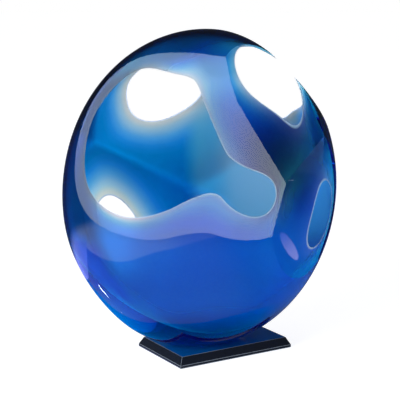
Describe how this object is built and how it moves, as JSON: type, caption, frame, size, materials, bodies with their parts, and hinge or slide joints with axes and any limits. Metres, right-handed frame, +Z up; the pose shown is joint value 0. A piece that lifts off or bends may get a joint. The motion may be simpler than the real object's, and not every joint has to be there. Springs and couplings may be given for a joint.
{
  "type": "glass sculpture",
  "caption": "Hollow blue glass egg cut by flat polished facets that open into its inner bubble, bonded upright to a bevelled dark glass plate.",
  "frame": {"origin": "centre of the plate's flat underside", "axes": "+Z up, +X along the plate's long side, -Y towards the front, where the large cut faces are"},
  "size_m": [0.2527, 0.1745, 0.2808],
  "materials": {
    "blue_glass": "polished",
    "clear_bond": "clear adhesive",
    "black_glass": "polished"
  },
  "bodies": {
    "root": {"glass_body": "blue_glass", "bond_film": "clear_bond", "base_plate": "black_glass"}
  },
  "joints": []
}
